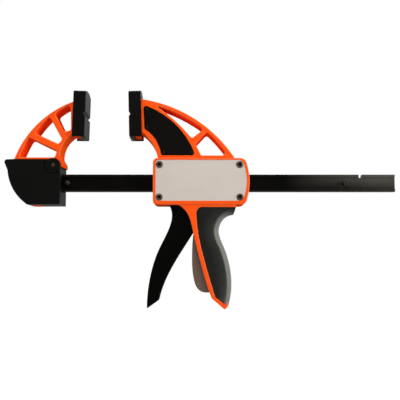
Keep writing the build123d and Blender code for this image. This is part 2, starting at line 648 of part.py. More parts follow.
with BuildPart() as latch_stirrup:
    with BuildSketch(Plane.XY.offset(FOOT_FLOOR)):
        with Locations((FOOT_LEFT, 0)):
            Rectangle(LATCH_RIGHT - FOOT_LEFT, FOOT_WIDTH, align=(Align.MIN, Align.CENTER))
    extrude(amount=FOOT_THICKNESS)
    with BuildSketch(Plane.YZ.offset(LATCH_LEFT)):
        with Locations((0, FOOT_FLOOR)):
            Rectangle(
                2*LEG_OUTSIDE, BAR_TOP + CROSSBAR_RISE - FOOT_FLOOR, align=(Align.CENTER, Align.MIN)
            )
        with Locations((0, FOOT_FLOOR)):
            Rectangle(
                2*LEG_INSIDE,
                BAR_TOP - NOTCH_DEPTH + 2*FIT_GAP - FOOT_FLOOR,
                align=(Align.CENTER, Align.MIN),
                mode=Mode.SUBTRACT,
            )
    extrude(amount=CROSSBAR_WIDTH)
latch_stirrup.part.label = "latch_stirrup"

with BuildPart() as latch_button:
    with BuildSketch(Plane.XY.offset(HOUSING_FLOOR - BUTTON_PROUD)):
        with Locations((BUTTON_X, 0)):
            Rectangle(BUTTON_LENGTH, BUTTON_WIDTH)
    extrude(amount=FOOT_FLOOR - HOUSING_FLOOR + BUTTON_PROUD)
    fillet(latch_button.edges().filter_by(Axis.Z), 2*BUTTON_ROUND)
    fillet(latch_button.faces().sort_by(Axis.Z)[0].edges(), BUTTON_ROUND)
latch_button.part.label = "latch_button"


def coil(start, direction, length, radius, wire, turns):
    """Helical spring of round wire; length is over the outsides of the wire."""
    way = Vector(*direction)
    path = Helix(
        pitch=(length - wire)/turns,
        height=length - wire,
        radius=radius,
        center=Vector(*start) + way*(wire/2),
        direction=way,
    )
    with BuildPart() as spring:
        with BuildSketch(Plane(origin=path @ 0, z_dir=path % 0)) as section:
            Circle(wire/2)
        sweep(section.sketch, path=path, is_frenet=True)
    return spring


latch_spring = coil(
    (BUTTON_X, 0, FOOT_FLOOR + FOOT_THICKNESS),
    (0, 0, 1),
    BAR_FOOT - SPRING_CEILING - FOOT_FLOOR - FOOT_THICKNESS,
    LATCH_SPRING_R,
    LATCH_SPRING_WIRE,
    LATCH_SPRING_TURNS,
)
latch_spring.part.label = "latch_spring"


# ================================================================ moving jaw's two shells
MOVING_NECK = neck_points(-1, MOVING_NECK_TOP, MOVING_NECK_DROP)
ARM_BASE = BOX_TOP - ARM_SINK
OUTER_END = (BOX_RIGHT - MOVING_OUTER_END, ARM_BASE)
INNER_END = (BOX_LEFT + MOVING_INNER_END, ARM_BASE)
GRIP_SHOULDER = (BOX_LEFT + GRIP_START, BAR_FOOT - GRIP_DROP)
GRIP_CORNER = (BOX_LEFT + GRIP_LENGTH, BAR_FOOT - GRIP_DROP)
CORE_TOP = (BOX_LEFT + CORE_LENGTH, SPINE_FRONT[0][1])
CHANNEL_LEFT = BOX_LEFT + CHANNEL_FRONT
CHANNEL_RIGHT = BOX_LEFT + CHANNEL_ROOF_END
CHANNEL_FLOOR = BAR_FOOT - CHANNEL_DEPTH


def box_face(left, right, top, bottom, left_r, right_r):
    """Box outline in X and Z: straight at the left, bulging at the right, with rounded corners."""
    with BuildSketch(Plane.XZ) as face:
        with BuildLine():
            Polyline((right, top), (left, top), (left, bottom), (right, bottom))
            bow((right, bottom), (right, top), BOX_BULGE)
        make_face()
        fillet(face.vertices().group_by(Axis.X)[0], left_r)
        fillet(face.vertices().group_by(Axis.X)[-1], right_r)
    return face.sketch


def cover_face(margin):
    """Outline of a cover plate's pocket, or of the plate in it when margin is above 0."""
    return box_face(
        BOX_LEFT + COVER_SIDE + margin,
        BOX_RIGHT - COVER_SIDE - margin,
        BOX_TOP - COVER_HEAD - margin,
        BOX_BOTTOM + COVER_FOOT + margin,
        COVER_LEFT_R,
        COVER_RIGHT_R,
    )


def core_face():
    """Side view of the handle's core, which the soft grip covers."""
    back = [(x - GRIP_SOFT, z) for x, z in GRIP_BACK[1:6]]
    with BuildSketch(Plane.XZ) as core:
        with BuildLine():
            Spline(*SPINE_FRONT)
            Polyline(SPINE_FRONT[-1], SPINE_TOE, SPINE_HEEL, back[-1])
            Spline(*back)
            Polyline(back[0], CORE_TOP, SPINE_FRONT[0])
        make_face()
    return core.sketch


def discs(sites, radius):
    """Round faces in X and Z at the given places."""
    with BuildSketch(Plane.XZ) as round_faces:
        with Locations(*sites):
            Circle(radius)
    return round_faces.sketch


def reach(face, start, end, mode=Mode.ADD):
    """Extrudes a face in X and Z from depth start to depth end; the front of the clamp is at -Y."""
    extrude(face.moved(Location((0, -start, 0))), amount=end - start, mode=mode)


with BuildPart() as shell_front:
    with BuildSketch(Plane.XZ):
        with BuildLine():
            bow(OUTER_END, MOVING_NECK[0], MOVING_OUTER_BOW)
            Line(MOVING_NECK[0], MOVING_NECK[1])
            bow(INNER_END, MOVING_NECK[1], MOVING_INNER_BOW)
            Line(INNER_END, OUTER_END)
        make_face()
    extrude(amount=ARM_WIDTH/2)
    for corners in MOVING_WINDOWS:
        extrude(bowed_face(corners, "moving"), amount=ARM_WIDTH, both=True, mode=Mode.SUBTRACT)
    fillet(long_edges(shell_front.faces().sort_by(Axis.Y)[0]), ARM_ROUND)
    extrude(tip_sketch(-1), amount=-TIP_WIDTH/2)
    reach(bowed_face(INSERT_OUTLINE, "moving"), INSERT_SEAT, ARM_WIDTH, Mode.SUBTRACT)
    reach(box_face(BOX_LEFT, BOX_RIGHT, BOX_TOP, BOX_BOTTOM, BOX_LEFT_R, BOX_RIGHT_R), 0, BOX_WIDTH/2)
    fillet(shell_front.faces().sort_by(Axis.Y)[0].edges(), BOX_ROUND)
    with BuildSketch(Plane.XZ):
        with BuildLine():
            Spline(*SPINE_FRONT)
            Polyline(SPINE_FRONT[-1], SPINE_TOE, SPINE_HEEL, SPINE_BACK[-1])
            Spline(*SPINE_BACK)
            bow(SPINE_BACK[0], GRIP_SHOULDER, -SHOULDER_BOW)
            Polyline(
                GRIP_SHOULDER,
                GRIP_CORNER,
                (GRIP_CORNER[0], SPINE_FRONT[0][1]),
                SPINE_FRONT[0],
            )
        make_face()
    extrude(amount=LIP_WIDTH/2)
    lip_sides = shell_front.faces().filter_by_position(Axis.Y, -LIP_WIDTH/2 - FIT_GAP, -LIP_WIDTH/2 + FIT_GAP)
    fillet(lip_sides[0].edges().filter_by(GeomType.BSPLINE), LIP_ROUND)
    reach(core_face(), 0, CORE_WIDTH/2)
    with BuildSketch(Plane.XZ):
        with BuildLine():
            back = [(x - GRIP_SOFT - CHANNEL_WALL, z) for x, z in GRIP_BACK[1:6]]
            Spline(*back)
            Polyline(
                back[-1],
                (back[-1][0], CHANNEL_FLOOR),
                (CHANNEL_LEFT, CHANNEL_FLOOR),
                (CHANNEL_LEFT, CAVITY_FLOOR + BOX_WALL),
                (CHANNEL_RIGHT, CAVITY_FLOOR + BOX_WALL),
                back[0],
            )
        make_face()
    extrude(amount=CHANNEL_WIDTH/2, mode=Mode.SUBTRACT)
    reach(cover_face(0), COVER_SEAT, BOX_WIDTH, Mode.SUBTRACT)
    with BuildSketch(Plane.XZ) as hollow:
        with Locations((BOX_LEFT + BOX_WALL, CAVITY_FLOOR)):
            Rectangle(
                CAVITY_RIGHT - BOX_LEFT - BOX_WALL,
                CAVITY_TOP - CAVITY_FLOOR,
                align=(Align.MIN, Align.MIN),
            )
        fillet(hollow.vertices().group_by(Axis.X)[-1], BOX_RIGHT_R - BOX_WALL/2)
        with Locations(*SCREW_SITES):
            Circle(POST_R, mode=Mode.SUBTRACT)
    extrude(amount=CAVITY_HALF, mode=Mode.SUBTRACT)
    with BuildSketch(Plane.XZ):
        with Locations((BULKHEAD_X, CAVITY_TOP + CUT_PAST)):
            Rectangle(
                BULKHEAD_THICKNESS,
                CAVITY_TOP + CUT_PAST - CAVITY_FLOOR - BULKHEAD_LIFT,
                align=(Align.MIN, Align.MAX),
            )
        for side in (-1, 1):
            rib_x = BRAKE_X + side*(STACK/2 + BRAKE_PLAY + RIB_THICKNESS/2)
            with Locations((rib_x, CAVITY_TOP + CUT_PAST)):
                Rectangle(RIB_THICKNESS, RIB_DROP + CUT_PAST, align=(Align.CENTER, Align.MAX))
    extrude(amount=CAVITY_HALF + CUT_PAST)
    block(
        (BOX_LEFT - CUT_PAST, BOX_RIGHT + BOX_BULGE + CUT_PAST),
        GUIDE_WIDTH/2,
        (BAR_FOOT - SLIDE_GAP, BAR_TOP + SLIDE_GAP),
    )
    for site, radius, inside in (
        ((TRIGGER_X, TRIGGER_Z), TRIGGER_PIN_R, TRIGGER_WIDTH/2),
        ((LEVER_X, LEVER_Z), LEVER_PIN_R, LEVER_FORK/2),
    ):
        reach(discs([site], radius + PIN_BOSS_WALL), inside + MOVING_GAP, CAVITY_HALF + CUT_PAST)
        reach(discs([site], radius + PIN_GAP), 0, PIN_LENGTH/2 + PIN_GAP, Mode.SUBTRACT)
    reach(discs(SCREW_SITES, SCREW_R + PIN_GAP), 0, BOX_WIDTH, Mode.SUBTRACT)
    insert_sites = [on_arm(x, z, "moving") for x, z in INSERT_SCREWS]
    reach(
        discs(insert_sites, INSERT_SCREW_R + PIN_GAP),
        INSERT_FACE - INSERT_SCREW_LENGTH,
        ARM_WIDTH,
        Mode.SUBTRACT,
    )
shell_front.part.label = "shell_front"

with BuildPart() as shell_rear:
    mirror(shell_front.part, about=Plane.XZ, mode=Mode.ADD)
    reach(
        discs(SCREW_SITES, NUT_R + PIN_GAP),
        -COVER_FACE + NUT_LENGTH + FIT_GAP,
        -BOX_WIDTH,
        Mode.SUBTRACT,
    )
shell_rear.part.label = "shell_rear"


# ================================================================ cover plates, screws and nuts
with BuildPart() as cover_plate_front:
    reach(cover_face(FIT_GAP), COVER_SEAT, COVER_FACE)
    reach(discs(SCREW_SITES, SCREW_R + PIN_GAP), 0, BOX_WIDTH, Mode.SUBTRACT)
cover_plate_front.part.label = "cover_plate_front"

with BuildPart() as cover_plate_rear:
    reach(cover_face(FIT_GAP), -COVER_SEAT, -COVER_FACE)
    reach(discs(SCREW_SITES, NUT_R + PIN_GAP), 0, -BOX_WIDTH, Mode.SUBTRACT)
cover_plate_rear.part.label = "cover_plate_rear"


def fastener(sites, seat, head_r, head_h, shank_r, shank_length, socket_r, socket_depth):
    """Button-head socket screws whose heads rest at depth seat; a negative seat faces the rear."""
    way = 1 if seat > 0 else -1
    with BuildPart() as screws:
        reach(discs(sites, head_r), seat, seat + way*head_h)
        heads = screws.faces().sort_by(Axis.Y, reverse=way < 0)[: len(sites)]
        fillet([head.edges()[0] for head in heads], HEAD_CROWN*head_h)
        with BuildSketch(Plane.XZ) as sockets:
            with Locations(*sites):
                RegularPolygon(socket_r, 6, major_radius=True)
        reach(sockets.sketch, seat + way*(head_h - socket_depth), seat + way*2*head_h, Mode.SUBTRACT)
        reach(discs(sites, shank_r), seat, seat - way*shank_length)
    return screws


cover_screws = fastener(
    SCREW_SITES, COVER_FACE, SCREW_HEAD_R, SCREW_HEAD_H, SCREW_R, SCREW_LENGTH, SOCKET_R, SOCKET_DEPTH
)
cover_screws.part.label = "cover_screws"

cover_nuts = fastener(
    SCREW_SITES, -COVER_FACE, SCREW_HEAD_R, SCREW_HEAD_H, NUT_R, NUT_LENGTH, SOCKET_R, SOCKET_DEPTH
)
with cover_nuts:
    reach(discs(SCREW_SITES, SCREW_R + PIN_GAP), 0, -COVER_FACE + NUT_ROOF, Mode.SUBTRACT)
cover_nuts.part.label = "cover_nuts"


# ================================================================ arm's inserts and their screws
def insert_plate(way):
    """Thin panel in the arm's side; way is 1 at the front and -1 at the rear."""
    with BuildPart() as panel:
        reach(bowed_face(INSERT_OUTLINE, "moving"), way*INSERT_SEAT, way*INSERT_FACE)
        fillet(panel.faces().sort_by(Axis.Y)[0 if way > 0 else -1].edges(), INSERT_RECESS)
        reach(discs(insert_sites, INSERT_SCREW_R + PIN_GAP), 0, way*ARM_WIDTH, Mode.SUBTRACT)
    return panel


def insert_fastener(way):
    return fastener(
        insert_sites,
        way*INSERT_FACE,
        INSERT_HEAD_R,
        INSERT_HEAD_H,
        INSERT_SCREW_R,
        INSERT_SCREW_LENGTH,
        INSERT_SOCKET_R,
        INSERT_HEAD_H/2,
    )


insert_front = insert_plate(1)
insert_front.part.label = "insert_front"
insert_rear = insert_plate(-1)
insert_rear.part.label = "insert_rear"
insert_screws_front = insert_fastener(1)
insert_screws_front.part.label = "insert_screws_front"
insert_screws_rear = insert_fastener(-1)
insert_screws_rear.part.label = "insert_screws_rear"


# ================================================================ soft grip
with BuildPart() as soft_grip:
    with BuildSketch(Plane.XZ):
        with BuildLine():
            Spline(*SPINE_BACK)
            bow(SPINE_BACK[0], GRIP_SHOULDER, -SHOULDER_BOW)
            Polyline(GRIP_SHOULDER, GRIP_CORNER, GRIP_BACK[0])
            Spline(*GRIP_BACK)
            Polyline(GRIP_BACK[-1], SPINE_HEEL, SPINE_BACK[-1])
        make_face()
    extrude(amount=GRIP_WIDTH/2, both=True)
    for side in (0, -1):
        long_edge = soft_grip.faces().sort_by(Axis.Y)[side].edges().sort_by(SortBy.LENGTH)[-1]
        fillet(long_edge, GRIP_ROUND)
    extrude(core_face(), amount=CORE_WIDTH/2, both=True, mode=Mode.SUBTRACT)
soft_grip.part.label = "soft_grip"


# ================================================================ trigger and its pin
def trigger_blade():
    """Side view of the trigger below the box."""
    with BuildSketch(Plane.XZ) as blade:
        with BuildLine():
            Spline(*TRIGGER_FRONT)
            Line(TRIGGER_FRONT[-1], TRIGGER_BACK[0])
            Spline(*TRIGGER_BACK)
            Line(TRIGGER_BACK[-1], TRIGGER_SHOULDER[0])
            Spline(*TRIGGER_SHOULDER)
            Line(TRIGGER_SHOULDER[-1], TRIGGER_FRONT[0])
        make_face()
    return blade.sketch


with BuildPart() as trigger:
    extrude(trigger_blade(), amount=TRIGGER_WIDTH/2, both=True)
    for side in (0, -1):
        long_sides = trigger.faces().sort_by(Axis.Y)[side].edges().sort_by(SortBy.LENGTH)[-2:]
        fillet(long_sides, TRIGGER_ROUND)
    with BuildSketch(Plane.XZ):
        with BuildLine():
            Polyline(
                (TRIGGER_X - TRIGGER_EYE_R, TRIGGER_Z),
                TRIGGER_FRONT[0],
                TRIGGER_SHOULDER[-1],
                (NOSE_X, NOSE_Z),
                (NOSE_X + NOSE_R, NOSE_Z),
                (TRIGGER_X + TRIGGER_EYE_R, TRIGGER_Z),
                close=True,
            )
        make_face()
        with Locations((TRIGGER_X, TRIGGER_Z)):
            Circle(TRIGGER_EYE_R)
        with Locations((NOSE_X, NOSE_Z)):
            Circle(NOSE_R)
    extrude(amount=TRIGGER_WIDTH/2, both=True)
    extrude(
        trigger_blade().moved(Location((TRIGGER_WALL, 0, 0))),
        amount=TRIGGER_SLOT/2,
        both=True,
        mode=Mode.SUBTRACT,
    )
    block((BOX_LEFT, TRIGGER_X + 3*TRIGGER_EYE_R), TRIGGER_SLOT/2, (SLOT_FLOOR, BOX_TOP))
    reach(discs([(TRIGGER_X, TRIGGER_Z)], TRIGGER_PIN_R + PIN_GAP), -BOX_WIDTH, BOX_WIDTH, Mode.SUBTRACT)
trigger.part.label = "trigger"


def pivot_pin(site, radius):
    """Chamfered pin across the box."""
    with BuildPart() as pin:
        reach(discs([site], radius), -PIN_LENGTH/2, PIN_LENGTH/2)
        chamfer(pin.edges().filter_by(GeomType.CIRCLE), PIN_CHAMFER)
    return pin


trigger_pin = pivot_pin((TRIGGER_X, TRIGGER_Z), TRIGGER_PIN_R)
trigger_pin.part.label = "trigger_pin"


# ================================================================ drive plates and their spring
def clamp_plates(plane, low, high, window_middle, margin):
    """Two plates side by side with a window for the bar; low and high are in the plane's own frame."""
    with BuildPart() as plates:
        for start in (-STACK/2, -STACK/2 + PLATE_THICKNESS):
            face = Plane(
                origin=plane.from_local_coords(Vector(start + PLATE_SPLIT/2, 0, 0)),
                x_dir=(0, 1, 0),
                z_dir=plane.x_dir,
            )
            with BuildSketch(face):
                with Locations((0, (low + high)/2)):
                    RectangleRounded(PLATE_WIDTH, high - low, PLATE_CORNER)
                with Locations((0, window_middle)):
                    Rectangle(
                        BAR_THICKNESS + 2*PLATE_WINDOW, BAR_HEIGHT + 2*margin, mode=Mode.SUBTRACT
                    )
            extrude(amount=PLATE_THICKNESS - PLATE_SPLIT)
    return plates


drive_plates = clamp_plates(
    Plane(origin=(DRIVE_X + STACK/2, 0, BAR_MID), x_dir=(1, 0, 0), z_dir=(0, -1, 0)),
    -BAR_HEIGHT/2 - PLATE_DROP,
    BAR_HEIGHT/2 + PLATE_RISE,
    0,
    PLATE_WINDOW,
)
drive_plates.part.label = "drive_plates"

drive_spring = coil(
    (DRIVE_X + STACK, 0, BAR_MID),
    (1, 0, 0),
    BULKHEAD_X - DRIVE_X - STACK,
    SPRING_R,
    DRIVE_SPRING_WIRE,
    DRIVE_SPRING_TURNS,
)
drive_spring.part.label = "drive_spring"


# ================================================================ release lever and its pin
def lever_neck(low):
    """Side view of the lever's fork, from height low up to its eye."""
    with BuildSketch(Plane.XZ) as neck:
        with BuildLine():
            Polyline(
                (LEVER_X - LEVER_EYE_R, LEVER_Z),
                LEVER_FRONT[0],
                LEVER_BACK[-1],
                (LEVER_NOSE_X, LEVER_NOSE_Z),
                (LEVER_NOSE_X + LEVER_NOSE_R, LEVER_NOSE_Z),
                (LEVER_X + LEVER_EYE_R, LEVER_Z),
                close=True,
            )
        make_face()
        with Locations((LEVER_X, LEVER_Z)):
            Circle(LEVER_EYE_R)
        with Locations((LEVER_NOSE_X, LEVER_NOSE_Z)):
            Circle(LEVER_NOSE_R)
        with Locations((LEVER_X, low)):
            Rectangle(BOX_LENGTH, BOX_LENGTH, align=(Align.CENTER, Align.MIN), mode=Mode.INTERSECT)
    return neck.sketch


with BuildPart() as release_lever:
    with BuildSketch(Plane.XZ):
        with BuildLine():
            Spline(*LEVER_FRONT)
            Line(LEVER_FRONT[-1], LEVER_BACK[0])
            Spline(*LEVER_BACK)
            Line(LEVER_BACK[-1], LEVER_FRONT[0])
        make_face()
    extrude(amount=LEVER_WIDTH/2, both=True)
    for side in (0, -1):
        long_sides = release_lever.faces().sort_by(Axis.Y)[side].edges().sort_by(SortBy.LENGTH)[-2:]
        fillet(long_sides, LEVER_ROUND)
    extrude(lever_neck(LEVER_FRONT[0][1]), amount=LEVER_WIDTH/2, both=True)
    extrude(lever_neck(BAR_FOOT - LEVER_FORK_BASE), amount=LEVER_FORK/2, both=True)
    block(
        (LEVER_X - 4*LEVER_EYE_R, LEVER_X + 4*LEVER_EYE_R),
        BAR_THICKNESS/2 + LEVER_FORK_GAP,
        (BAR_FOOT - LEVER_FORK_DROP, BOX_TOP),
    )
    reach(discs([(LEVER_X, LEVER_Z)], LEVER_PIN_R + PIN_GAP), -BOX_WIDTH, BOX_WIDTH, Mode.SUBTRACT)
release_lever.part.label = "release_lever"

release_pin = pivot_pin((LEVER_X, LEVER_Z), LEVER_PIN_R)
release_pin.part.label = "release_pin"


# ================================================================ brake plates and their spring
brake_plates = clamp_plates(
    Plane(
        origin=(BRAKE_X, 0, BRAKE_Z),
        x_dir=(math.cos(TILT), 0, -math.sin(TILT)),
        z_dir=(0, -1, 0),
    ),
    BAR_FOOT - PLATE_DROP - BRAKE_Z,
    BRAKE_TOP,
    (BAR_MID - BRAKE_Z)/math.cos(TILT),
    BRAKE_WINDOW,
)
brake_plates.part.label = "brake_plates"

BRAKE_SPRING_X = BRAKE_X + STACK/2 + BRAKE_PLAY
brake_spring = coil(
    (BRAKE_SPRING_X, 0, BAR_MID),
    (1, 0, 0),
    CAVITY_RIGHT - BRAKE_SPRING_X,
    SPRING_R,
    BRAKE_SPRING_WIRE,
    BRAKE_SPRING_TURNS,
)
brake_spring.part.label = "brake_spring"


# ================================================================ export
pieces = [
    bar, stop_pins, jaw_housing, fixed_arm, jaw_pin, fixed_pad,
    latch_stirrup, latch_button, latch_spring,
    shell_front, shell_rear, cover_plate_front, cover_plate_rear, cover_screws, cover_nuts,
    insert_front, insert_rear, insert_screws_front, insert_screws_rear, moving_pad, soft_grip,
    trigger, trigger_pin, drive_plates, drive_spring,
    release_lever, release_pin, brake_plates, brake_spring,
]
for piece in pieces:
    export_step(piece.part, f"parts/{piece.part.label}.step")
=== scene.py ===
"""Looks of the quick release bar clamp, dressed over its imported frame."""
import math

import bmesh
import bpy
from mathutils import Matrix, Vector
from mathutils.kdtree import KDTree


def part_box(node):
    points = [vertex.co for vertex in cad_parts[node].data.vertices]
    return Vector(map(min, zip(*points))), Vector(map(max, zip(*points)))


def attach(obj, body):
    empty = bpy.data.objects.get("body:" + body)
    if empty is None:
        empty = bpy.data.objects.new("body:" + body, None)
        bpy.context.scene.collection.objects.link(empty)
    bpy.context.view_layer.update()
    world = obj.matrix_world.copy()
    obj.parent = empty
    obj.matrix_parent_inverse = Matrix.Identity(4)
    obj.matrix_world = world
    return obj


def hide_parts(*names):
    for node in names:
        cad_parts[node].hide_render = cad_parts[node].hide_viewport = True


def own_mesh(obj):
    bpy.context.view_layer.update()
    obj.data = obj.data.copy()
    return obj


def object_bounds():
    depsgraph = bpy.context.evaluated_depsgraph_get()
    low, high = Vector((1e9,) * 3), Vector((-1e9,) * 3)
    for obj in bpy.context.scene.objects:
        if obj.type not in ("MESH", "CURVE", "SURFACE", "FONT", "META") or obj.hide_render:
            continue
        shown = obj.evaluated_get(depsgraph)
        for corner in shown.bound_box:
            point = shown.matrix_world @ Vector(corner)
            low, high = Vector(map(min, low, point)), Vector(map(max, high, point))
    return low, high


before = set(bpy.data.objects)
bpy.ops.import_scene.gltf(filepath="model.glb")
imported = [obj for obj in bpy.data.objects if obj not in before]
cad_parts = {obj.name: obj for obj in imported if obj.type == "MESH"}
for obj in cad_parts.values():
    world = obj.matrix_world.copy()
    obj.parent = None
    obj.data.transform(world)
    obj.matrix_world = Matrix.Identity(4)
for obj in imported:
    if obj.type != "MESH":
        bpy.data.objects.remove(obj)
cad_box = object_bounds()
MM = 0.001
SOCKET_MARK = "socket"      # marks the inside of a screw's socket on its mesh
scene = bpy.context.scene


# ---------------------------------------------------------------- shader maths
BEVEL_SAMPLES = 4           # rays with which a finish feels for an edge
EDGE_GAIN = 5.0             # how fast an edge shows as it gets sharper
ROUNDING_GAIN = 4.0         # makes half way round a rim count as 1


class Amount:
    """A number in a finish's node tree; arithmetic on it adds Math nodes."""

    def __init__(self, finish, socket):
        self.finish = finish
        self.socket = socket

    def combine(self, operation, *values):
        return self.finish.node("ShaderNodeMath", {"operation": operation}, dict(enumerate(values)))

    def __add__(self, other):
        return self.combine("ADD", self, other)

    def __sub__(self, other):
        return self.combine("SUBTRACT", self, other)

    def __rsub__(self, other):
        return self.combine("SUBTRACT", other, self)

    def __mul__(self, other):
        return self.combine("MULTIPLY", self, other)

    def __truediv__(self, other):
        return self.combine("DIVIDE", self, other)

    __radd__ = __add__
    __rmul__ = __mul__

    def size(self):
        return self.combine("ABSOLUTE", self)

    def clamped(self):
        return self.combine("MINIMUM", self.combine("MAXIMUM", self, 0.0), 1.0)


class Finish:
    """One surface finish: a Principled shader and the nodes that vary it."""

    def __init__(self, name, world=False):
        if world:
            self.data = bpy.data.worlds.new(name)
        else:
            self.data = bpy.data.materials.new(name)
        self.data.use_nodes = True
        self.tree = self.data.node_tree
        self.shader = self.tree.nodes.get("Principled BSDF")

    def fill(self, node, inputs):
        for key, value in inputs.items():
            if isinstance(value, Amount):
                self.tree.links.new(value.socket, node.inputs[key])
            else:
                node.inputs[key].default_value = value

    def node(self, kind, settings=None, inputs=None, output=0):
        """Adds a node, sets it up, fills its sockets and gives one of its outputs."""
        node = self.tree.nodes.new(kind)
        for key, value in (settings or {}).items():
            setattr(node, key, value)
        self.fill(node, inputs or {})
        return Amount(self, node.outputs[output])

    def place(self, scale=(1, 1, 1)):
        """Place on the piece in metres, scaled."""
        spot = self.node("ShaderNodeTexCoord", output="Object")
        return self.node("ShaderNodeMapping", {}, {"Vector": spot, "Scale": scale})

    def along(self, axis):
        """Place on the piece along one axis, in metres."""
        return self.node("ShaderNodeSeparateXYZ", {}, {0: self.place()}, output=axis)

    def noise(self, size, scale=(1, 1, 1), detail=2.0, roughness=0.5):
        """Noise between 0 and 1 whose features are about size metres across."""
        return self.node(
            "ShaderNodeTexNoise",
            {},
            {"Vector": self.place(scale), "Scale": 1.0/size, "Detail": detail, "Roughness": roughness},
        )

    def facing(self, axis):
        """How far the surface faces along one axis of the piece, from -1 to 1."""
        normal = self.node("ShaderNodeTexCoord", output="Normal")
        return self.node("ShaderNodeSeparateXYZ", {}, {0: normal}, output=axis)

    def edges(self, radius):
        """1 on edges that are sharper than radius, 0 on flat stretches."""
        soft = self.node("ShaderNodeBevel", {"samples": BEVEL_SAMPLES}, {"Radius": radius})
        hard = self.node("ShaderNodeNewGeometry", output="Normal")
        same = self.node(
            "ShaderNodeVectorMath", {"operation": "DOT_PRODUCT"}, {0: soft, 1: hard}, output="Value"
        )
        return ((1.0 - same)*EDGE_GAIN).clamped()

    def rounding(self):
        """1 half way round a rounded rim between a side face and a wall, 0 on both."""
        sideways = self.facing("Y").size()
        return (sideways*(1.0 - sideways)*ROUNDING_GAIN).clamped()

    def mix(self, amount, first, second):
        """Colour between first and second."""
        return self.node(
            "ShaderNodeMix", {"data_type": "RGBA"}, {0: amount, 6: first, 7: second}, output=2
        )

    def bump(self, height, distance, strength):
        return self.node(
            "ShaderNodeBump", {}, {"Height": height, "Distance": distance, "Strength": strength}
        )


def rgb(red, green, blue):
    """Colour for a shader, from the values that a screen shows."""
    def linear(value):
        value = value/255
        return value/12.92 if value <= 0.04045 else ((value + 0.055)/1.055)**2.4
    return (linear(red), linear(green), linear(blue), 1.0)


def swing(noise, amount, middle=0.5):
    """What a noise adds to a value: some of amount, up or down, and nothing at its middle."""
    return (noise - middle)*amount


# ---------------------------------------------------------------- finishes
EDGE_WIDTH = 0.5*MM         # of the rubbed line along a sharp edge
RIM_HIGHLIGHT_SHARE = 0.42            # how far a rounded rim goes towards its painted highlight colour
SCUFF_FROM = 0.6            # how much of the surface stays free of scuffs
SCUFF_GAIN = 6.0            # how sharply a scuff begins


def moulded(
    name, colour, worn, rough, grain=0.5*MM, depth=0.02*MM, specular=0.3, edge=None, rim=None
):
    """Moulded plastic: a fine grain, slow changes of tone, faint scuffs, rubbed edges, and a painted
    highlight on rounded rims.
    """
    finish = Finish(name)
    cloud = finish.noise(30*MM, detail=3.0)
    fleck = finish.noise(1.6*MM, detail=4.0, roughness=0.65)
    grit = finish.noise(grain, detail=2.0, roughness=0.6)
    scratches = finish.noise(12*MM, (1, 1, 0.35), detail=5.0, roughness=0.7)
    scuff = swing(scratches, SCUFF_GAIN, SCUFF_FROM).clamped()
    tone = (swing(cloud, 0.7) + swing(fleck, 0.35) + scuff*0.25 + 0.35).clamped()
    skin = finish.mix(tone, colour, worn)
    if edge is not None:
        skin = finish.mix(finish.edges(EDGE_WIDTH)*(fleck*0.5 + 0.3), skin, edge)
    # painted highlight: rounded rims turn lighter, as if they caught the light
    if rim is not None:
        skin = finish.mix(finish.rounding()*RIM_HIGHLIGHT_SHARE, skin, rim)
    finish.fill(
        finish.shader,
        {
            "Base Color": skin,
            "Roughness": (rough + swing(cloud, 0.12) + swing(grit, 0.10) + scuff*0.08).clamped(),
            "Specular IOR Level": specular,
            "Normal": finish.bump(grit + fleck*0.6, depth, 0.6),
        },
    )
    return finish.data


SHEEN_GAIN = 1.7             # how fast the painted highlight on the grip grows as it turns towards its back
SHEEN_FROM = 0.12            # and how far forward its sides stay black


def rubber(name, colour, dusty, rough, specular, pimple=0.9*MM, painted_sheen=None):
    """Soft moulded rubber: matte, finely stippled, a little dusty, and lighter with a painted highlight on
    faces that turn towards the back (+X).
    """
    finish = Finish(name)
    stipple = finish.node(
        "ShaderNodeTexVoronoi", {"feature": "SMOOTH_F1"}, {"Vector": finish.place(), "Scale": 1.0/pimple}
    )
    cloud = finish.noise(20*MM, detail=4.0)
    dust = finish.noise(3*MM, detail=5.0, roughness=0.7)
    tone = (swing(cloud, 0.8, 0.45) + swing(dust, 0.5) + 0.3).clamped()
    skin = finish.mix(tone, colour, dusty)
    if painted_sheen is not None:
        # painted highlight: faces turned towards +X get a lighter grey, standing in for a sheen of light
        skin = finish.mix((finish.facing("X")*SHEEN_GAIN - SHEEN_FROM).clamped(), skin, painted_sheen)
    finish.fill(
        finish.shader,
        {
            "Base Color": skin,
            "Roughness": (rough + swing(cloud, 0.15) + swing(dust, 0.12)).clamped(),
            "Specular IOR Level": specular,
            "Normal": finish.bump(stipple*-1.0 + dust*0.5, 0.04*MM, 0.5),
        },
    )
    return finish.data


HAIR_LINE = 0.25*MM         # width of the finest lines in brushed metal
BROAD_LINE = 6*HAIR_LINE


def brushed(name, colour, shade, rough, along=(0.02, 1, 1), metallic=1.0, streak=0.5):
    """Brushed metal: hair lines that run along one way, over slow changes of tone."""
    finish = Finish(name)
    hair = finish.noise(HAIR_LINE, along, detail=3.0, roughness=0.6)
    broad = finish.noise(BROAD_LINE, along, detail=2.0)
    cloud = finish.noise(40*MM, detail=2.0)
    tone = (swing(hair, streak) + swing(broad, streak)*0.6 + swing(cloud, 1.1) + 0.5).clamped()
    finish.fill(
        finish.shader,
        {
            "Base Color": finish.mix(tone, colour, shade),
            "Metallic": metallic,
            "Roughness": (rough + swing(hair, 0.14) + swing(cloud, 0.10)).clamped(),
            "Normal": finish.bump(hair + broad*0.5, 0.008*MM, 0.5),
        },
    )
    return finish.data


